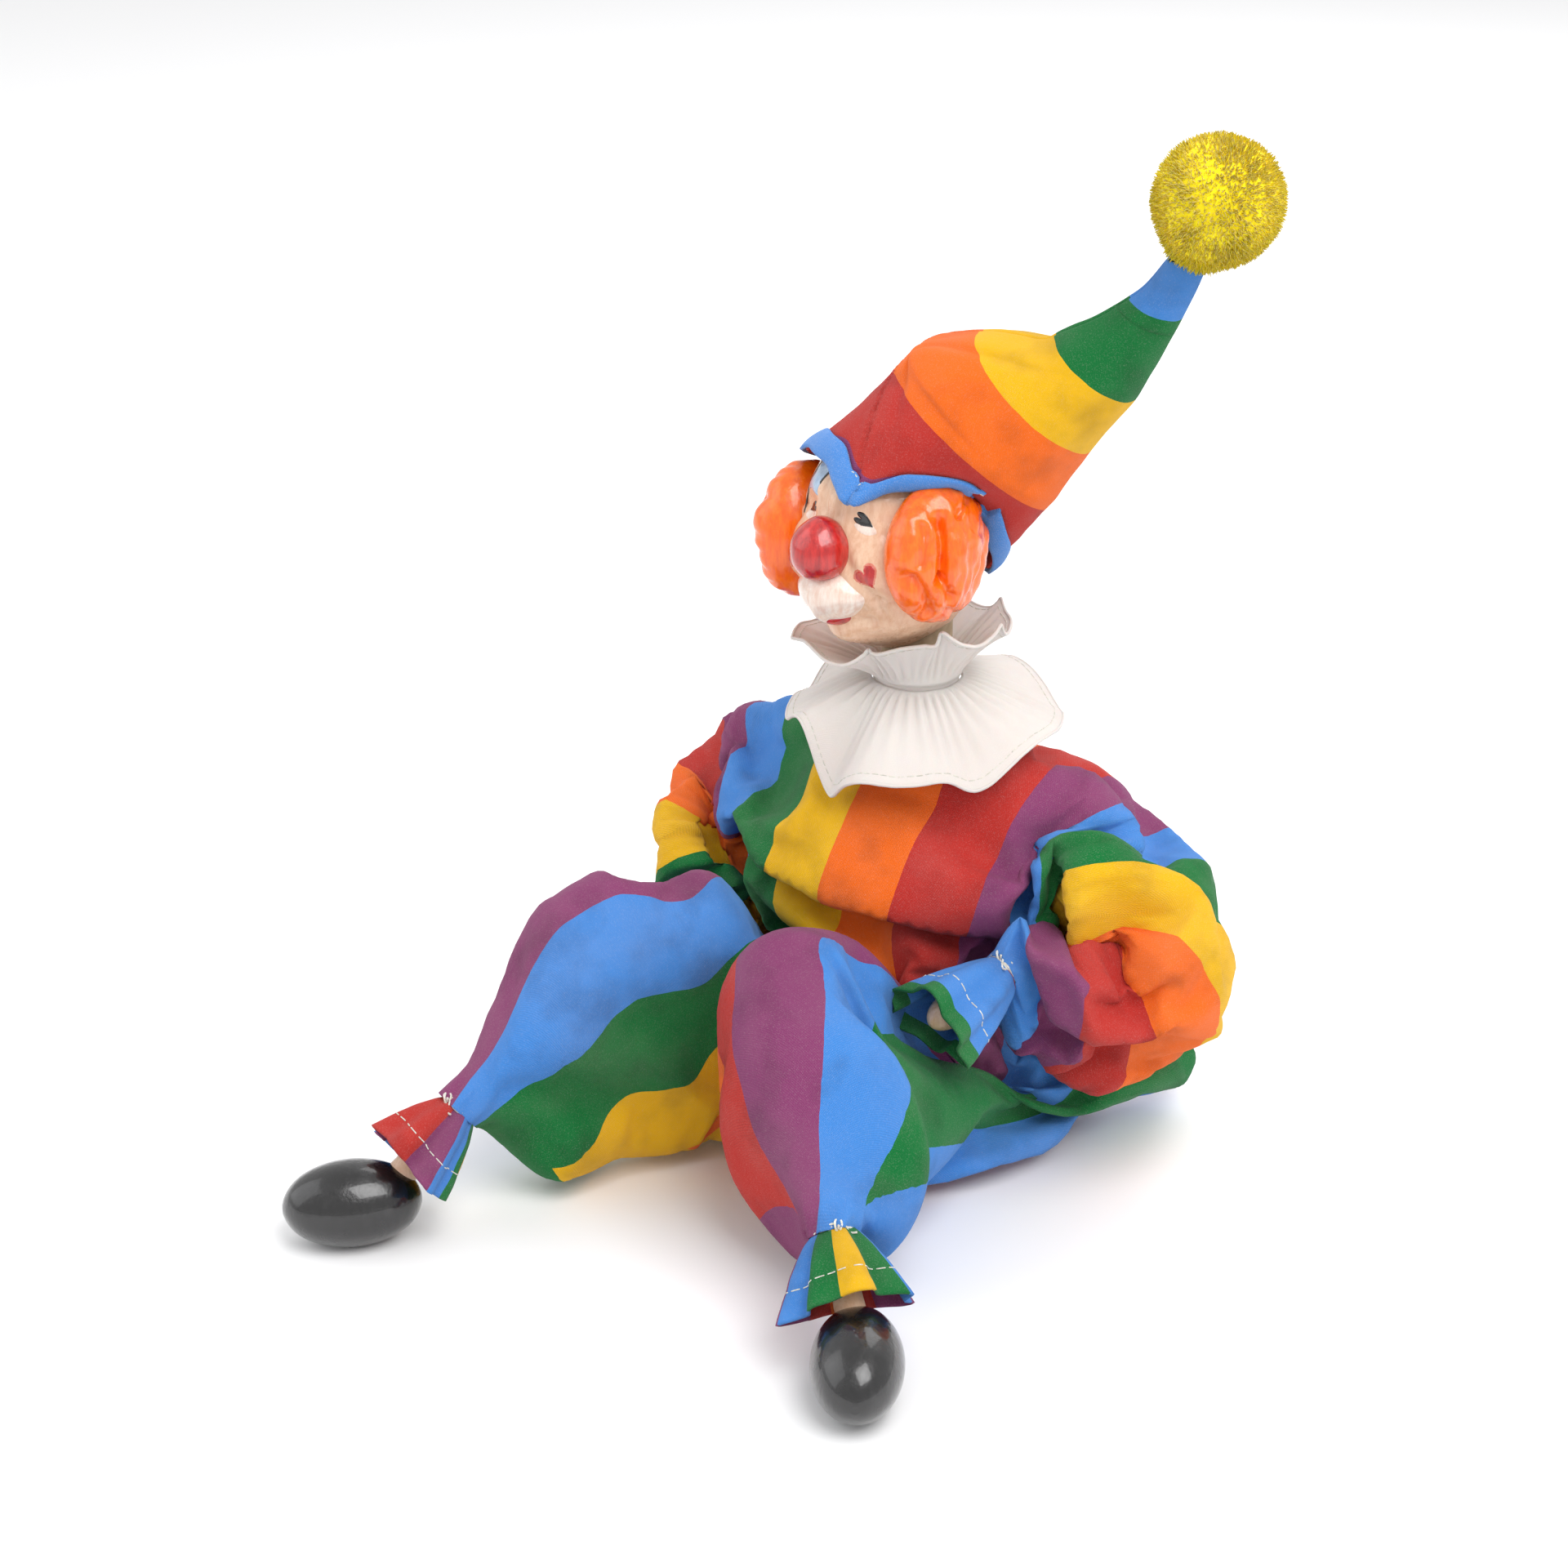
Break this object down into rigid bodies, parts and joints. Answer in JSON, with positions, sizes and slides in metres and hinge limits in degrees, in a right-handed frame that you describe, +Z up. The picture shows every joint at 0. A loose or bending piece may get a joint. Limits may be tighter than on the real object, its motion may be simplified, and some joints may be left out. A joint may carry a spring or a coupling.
{
  "type": "hand puppet",
  "caption": "Seated full-body clown hand puppet: moulded head, tall floppy hat with a pompom, white ruff, baggy rainbow-striped romper, small tied-in hands and shoes.",
  "frame": {"origin": "middle of the flat base the puppet sits on, at the way in for the hand", "axes": "+Z up through the body, the puppet faces -Y, +X is the puppet's own left"},
  "size_m": [0.2025, 0.2419, 0.3225],
  "materials": {
    "lining_cloth": "matt unbleached cotton",
    "stuffing": "white fibre wadding",
    "rainbow_cotton": "matt plain-weave cotton printed in six 25 mm stripes: red, orange, yellow, green, blue and purple",
    "tube_board": "plain rolled board, hidden inside the head and neck",
    "thread": "sewing thread and cotton tape",
    "white_cotton": "thin white cotton lawn, slightly see-through, with stitched hems",
    "skin_glaze": "flesh-coloured paint under gloss glaze on a moulded composition head and hands",
    "red_glaze": "brushed red paint under gloss glaze",
    "white_glaze": "white paint under gloss glaze",
    "orange_glaze": "orange paint under gloss glaze over moulded curls",
    "black_glaze": "black gloss glaze",
    "yellow_wool": "soft cut-pile acrylic wool"
  },
  "bodies": {
    "torso": {"seat_base": "lining_cloth", "opening_binding": "lining_cloth", "hand_channel_lining": "lining_cloth", "torso_padding": "stuffing", "romper_body": "rainbow_cotton"},
    "neck": {"neck_tube": "tube_board", "neck_binding": "thread", "ruff_gathering_band": "thread", "ruff_lower": "white_cotton", "ruff_upper": "white_cotton"},
    "head": {"head_shell": "skin_glaze", "nose": "red_glaze", "muzzle": "white_glaze", "hair_tuft_left": "orange_glaze", "hair_tuft_right": "orange_glaze", "hat_crown": "rainbow_cotton", "hat_hem_band": "rainbow_cotton", "hat_filling": "stuffing"},
    "hat_end": {"hat_tip": "rainbow_cotton", "hat_tip_filling": "stuffing", "pompom": "yellow_wool", "pompom_thread": "thread"},
    "left_upper_arm": {"left_upper_arm_sleeve": "rainbow_cotton", "left_upper_arm_padding": "stuffing"},
    "left_forearm": {"left_forearm_sleeve": "rainbow_cotton", "left_forearm_padding": "stuffing"},
    "left_hand": {"left_hand": "skin_glaze", "left_wrist_tie": "thread", "left_sleeve_cuff": "rainbow_cotton"},
    "left_thigh": {"left_thigh_trouser": "rainbow_cotton", "left_thigh_padding": "stuffing"},
    "left_shin": {"left_shin_trouser": "rainbow_cotton", "left_shin_padding": "stuffing"},
    "left_foot": {"left_shoe": "black_glaze", "left_ankle_stem": "white_glaze", "left_ankle_tie": "thread", "left_trouser_cuff": "rainbow_cotton"},
    "right_upper_arm": {"right_upper_arm_sleeve": "rainbow_cotton", "right_upper_arm_padding": "stuffing"},
    "right_forearm": {"right_forearm_sleeve": "rainbow_cotton", "right_forearm_padding": "stuffing"},
    "right_hand": {"right_hand": "skin_glaze", "right_wrist_tie": "thread", "right_sleeve_cuff": "rainbow_cotton"},
    "right_thigh": {"right_thigh_trouser": "rainbow_cotton", "right_thigh_padding": "stuffing"},
    "right_shin": {"right_shin_trouser": "rainbow_cotton", "right_shin_padding": "stuffing"},
    "right_foot": {"right_shoe": "black_glaze", "right_ankle_stem": "white_glaze", "right_ankle_tie": "thread", "right_trouser_cuff": "rainbow_cotton"}
  },
  "joints": [
    {"name": "neck_nod", "type": "hinge", "parent": "torso", "child": "neck", "pos_m": [-0.006, 0, 0.134], "axis": [1, 0, 0], "range_deg": [-15, 18]},
    {"name": "head_turn", "type": "hinge", "parent": "neck", "child": "head", "pos_m": [-0.006, 0, 0.15], "axis": [0, 0, 1], "range_deg": [-60, 60]},
    {"name": "hat_flop", "type": "hinge", "parent": "head", "child": "hat_end", "pos_m": [0.044, 0.014, 0.258], "axis": [0, 1, 0], "range_deg": [-20, 60]},
    {"name": "left_shoulder", "type": "hinge", "parent": "torso", "child": "left_upper_arm", "pos_m": [0.037, 0.002, 0.112], "axis": [-1, 0, 0], "range_deg": [-10, 60]},
    {"name": "left_elbow", "type": "hinge", "parent": "left_upper_arm", "child": "left_forearm", "pos_m": [0.08, 0.012, 0.05], "axis": [0.8188, -0.2113, 0.5338], "range_deg": [0, 60]},
    {"name": "left_wrist", "type": "hinge", "parent": "left_forearm", "child": "left_hand", "pos_m": [0.053, -0.032, 0.074], "axis": [-0.8588, 0.3009, -0.4145], "range_deg": [-20, 20]},
    {"name": "left_hip", "type": "hinge", "parent": "torso", "child": "left_thigh", "pos_m": [0.024, -0.037, 0.026], "axis": [-1, 0, 0], "range_deg": [-12, 28]},
    {"name": "left_knee", "type": "hinge", "parent": "left_thigh", "child": "left_shin", "pos_m": [0.023, -0.103, 0.061], "axis": [-0.6685, -0.3405, -0.6612], "range_deg": [-25, 35]},
    {"name": "left_ankle", "type": "hinge", "parent": "left_shin", "child": "left_foot", "pos_m": [0.061, -0.131, 0.037], "axis": [-0.6029, -0.7975, -0.0242], "range_deg": [-20, 20]},
    {"name": "right_shoulder", "type": "hinge", "parent": "torso", "child": "right_upper_arm", "pos_m": [-0.044, 0.002, 0.108], "axis": [-1, 0, 0], "range_deg": [-10, 60]},
    {"name": "right_elbow", "type": "hinge", "parent": "right_upper_arm", "child": "right_forearm", "pos_m": [-0.072, 0.02, 0.049], "axis": [0.9101, 0.0899, -0.4045], "range_deg": [-25, 60]},
    {"name": "right_wrist", "type": "hinge", "parent": "right_forearm", "child": "right_hand", "pos_m": [-0.068, -0.034, 0.046], "axis": [0.0955, -0.0482, 0.9943], "range_deg": [-20, 20]},
    {"name": "right_hip", "type": "hinge", "parent": "torso", "child": "right_thigh", "pos_m": [-0.024, -0.037, 0.026], "axis": [-1, 0, 0], "range_deg": [-12, 28]},
    {"name": "right_knee", "type": "hinge", "parent": "right_thigh", "child": "right_shin", "pos_m": [-0.05, -0.104, 0.054], "axis": [-0.9347, 0.355, -0.0184], "range_deg": [-25, 35]},
    {"name": "right_ankle", "type": "hinge", "parent": "right_shin", "child": "right_foot", "pos_m": [-0.066, -0.147, 0.037], "axis": [-0.939, 0.3436, 0.0147], "range_deg": [-20, 20]}
  ]
}
